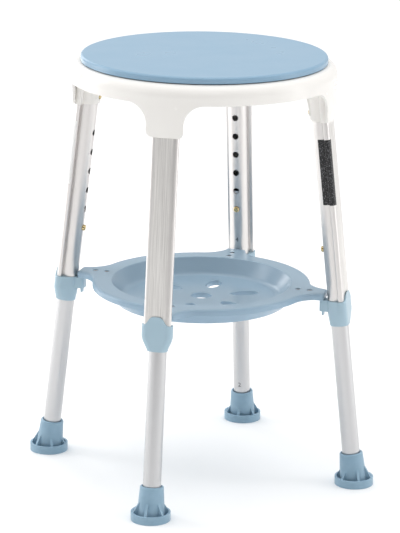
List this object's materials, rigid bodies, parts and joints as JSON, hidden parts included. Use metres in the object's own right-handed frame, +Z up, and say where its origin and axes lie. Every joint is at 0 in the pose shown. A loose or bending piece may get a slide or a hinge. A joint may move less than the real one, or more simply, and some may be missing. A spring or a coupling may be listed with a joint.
{
  "type": "shower stool",
  "caption": "Round swivelling bath stool on telescoping splayed legs, with a clip-in storage tray between them and flared rubber feet.",
  "frame": {"origin": "on the floor, under the middle of the seat", "axes": "+Z up through the swivel; the legs stand on the diagonals between X and Y"},
  "size_m": [0.3368, 0.3368, 0.5363],
  "materials": {
    "blue_plastic": "moulded satin plastic",
    "white_plastic": "moulded semi-gloss plastic",
    "bearing_plastic": "moulded acetal",
    "steel": "zinc-plated steel",
    "brushed_aluminium": "extruded, brushed lengthways and anodised",
    "tube_aluminium": "drawn tube, satin anodised",
    "blue_rubber": "moulded rubber",
    "brass": "turned",
    "spring_steel": "blued spring strip",
    "black_label": "printed film, plain",
    "white_label": "printed film, plain"
  },
  "bodies": {
    "frame": {"seat_base": "white_plastic", "lower_race": "bearing_plastic", "pivot_bush": "bearing_plastic", "tray": "blue_plastic", "tray_screws": "steel", "black_label": "black_label", "white_label": "white_label", "back_right_upper_leg": "brushed_aluminium", "back_right_leg_collar": "blue_plastic", "back_right_tray_hook": "blue_plastic", "back_right_socket_spring": "spring_steel", "back_left_upper_leg": "brushed_aluminium", "back_left_leg_collar": "blue_plastic", "back_left_tray_hook": "blue_plastic", "back_left_socket_spring": "spring_steel", "front_left_upper_leg": "brushed_aluminium", "front_left_leg_collar": "blue_plastic", "front_left_tray_hook": "blue_plastic", "front_left_socket_spring": "spring_steel", "front_right_upper_leg": "brushed_aluminium", "front_right_leg_collar": "blue_plastic", "front_right_tray_hook": "blue_plastic", "front_right_socket_spring": "spring_steel"},
    "seat": {"seat_disc": "blue_plastic", "upper_race": "bearing_plastic", "pivot_bolt": "steel", "pivot_washer": "steel"},
    "ball_ring": {"ball_cage": "bearing_plastic", "bearing_balls": "steel"},
    "back_right_leg": {"back_right_lower_leg": "tube_aluminium", "back_right_foot": "blue_rubber", "back_right_foot_washer": "steel", "back_right_leg_spring": "spring_steel"},
    "back_right_leg_pin": {"back_right_leg_button": "brass"},
    "back_right_socket_pin": {"back_right_socket_button": "brass"},
    "back_left_leg": {"back_left_lower_leg": "tube_aluminium", "back_left_foot": "blue_rubber", "back_left_foot_washer": "steel", "back_left_leg_spring": "spring_steel"},
    "back_left_leg_pin": {"back_left_leg_button": "brass"},
    "back_left_socket_pin": {"back_left_socket_button": "brass"},
    "front_left_leg": {"front_left_lower_leg": "tube_aluminium", "front_left_foot": "blue_rubber", "front_left_foot_washer": "steel", "front_left_leg_spring": "spring_steel"},
    "front_left_leg_pin": {"front_left_leg_button": "brass"},
    "front_left_socket_pin": {"front_left_socket_button": "brass"},
    "front_right_leg": {"front_right_lower_leg": "tube_aluminium", "front_right_foot": "blue_rubber", "front_right_foot_washer": "steel", "front_right_leg_spring": "spring_steel"},
    "front_right_leg_pin": {"front_right_leg_button": "brass"},
    "front_right_socket_pin": {"front_right_socket_button": "brass"}
  },
  "joints": [
    {"name": "seat_swivel", "type": "hinge", "parent": "frame", "child": "seat", "pos_m": [0, 0, 0.5363], "axis": [0, 0, 1], "continuous": true},
    {"name": "ball_ring_turn", "type": "hinge", "parent": "frame", "child": "ball_ring", "pos_m": [0, 0, 0.5246], "axis": [0, 0, 1], "continuous": true},
    {"name": "back_right_height", "type": "slide", "parent": "frame", "child": "back_right_leg", "axis": [-0.08, -0.08, 0.9936], "range_m": [0, 0.125], "deforming": ["back_right_leg_button"]},
    {"name": "back_right_leg_pin_press", "type": "slide", "parent": "back_right_leg", "child": "back_right_leg_pin", "axis": [0.7026, 0.7026, 0.1132], "range_m": [0, 0.0045], "stiffness_N_per_m": 800, "springref_m": -0.003, "deforming": ["back_right_leg_spring"]},
    {"name": "back_right_socket_pin_press", "type": "slide", "parent": "frame", "child": "back_right_socket_pin", "axis": [0.7026, 0.7026, 0.1132], "range_m": [0, 0.0038], "stiffness_N_per_m": 800, "springref_m": -0.003, "deforming": ["back_right_socket_spring"]},
    {"name": "back_left_height", "type": "slide", "parent": "frame", "child": "back_left_leg", "axis": [0.08, -0.08, 0.9936], "range_m": [0, 0.125], "deforming": ["back_left_leg_button"]},
    {"name": "back_left_leg_pin_press", "type": "slide", "parent": "back_left_leg", "child": "back_left_leg_pin", "axis": [-0.7026, 0.7026, 0.1132], "range_m": [0, 0.0045], "stiffness_N_per_m": 800, "springref_m": -0.003, "deforming": ["back_left_leg_spring"]},
    {"name": "back_left_socket_pin_press", "type": "slide", "parent": "frame", "child": "back_left_socket_pin", "axis": [-0.7026, 0.7026, 0.1132], "range_m": [0, 0.0038], "stiffness_N_per_m": 800, "springref_m": -0.003, "deforming": ["back_left_socket_spring"]},
    {"name": "front_left_height", "type": "slide", "parent": "frame", "child": "front_left_leg", "axis": [0.08, 0.08, 0.9936], "range_m": [0, 0.125], "deforming": ["front_left_leg_button"]},
    {"name": "front_left_leg_pin_press", "type": "slide", "parent": "front_left_leg", "child": "front_left_leg_pin", "axis": [-0.7026, -0.7026, 0.1132], "range_m": [0, 0.0045], "stiffness_N_per_m": 800, "springref_m": -0.003, "deforming": ["front_left_leg_spring"]},
    {"name": "front_left_socket_pin_press", "type": "slide", "parent": "frame", "child": "front_left_socket_pin", "axis": [-0.7026, -0.7026, 0.1132], "range_m": [0, 0.0038], "stiffness_N_per_m": 800, "springref_m": -0.003, "deforming": ["front_left_socket_spring"]},
    {"name": "front_right_height", "type": "slide", "parent": "frame", "child": "front_right_leg", "axis": [-0.08, 0.08, 0.9936], "range_m": [0, 0.125], "deforming": ["front_right_leg_button"]},
    {"name": "front_right_leg_pin_press", "type": "slide", "parent": "front_right_leg", "child": "front_right_leg_pin", "axis": [0.7026, -0.7026, 0.1132], "range_m": [0, 0.0045], "stiffness_N_per_m": 800, "springref_m": -0.003, "deforming": ["front_right_leg_spring"]},
    {"name": "front_right_socket_pin_press", "type": "slide", "parent": "frame", "child": "front_right_socket_pin", "axis": [0.7026, -0.7026, 0.1132], "range_m": [0, 0.0038], "stiffness_N_per_m": 800, "springref_m": -0.003, "deforming": ["front_right_socket_spring"]}
  ],
  "couplings": [
    {"joint": "ball_ring_turn", "follows": "seat_swivel", "ratio": 0.5}
  ]
}
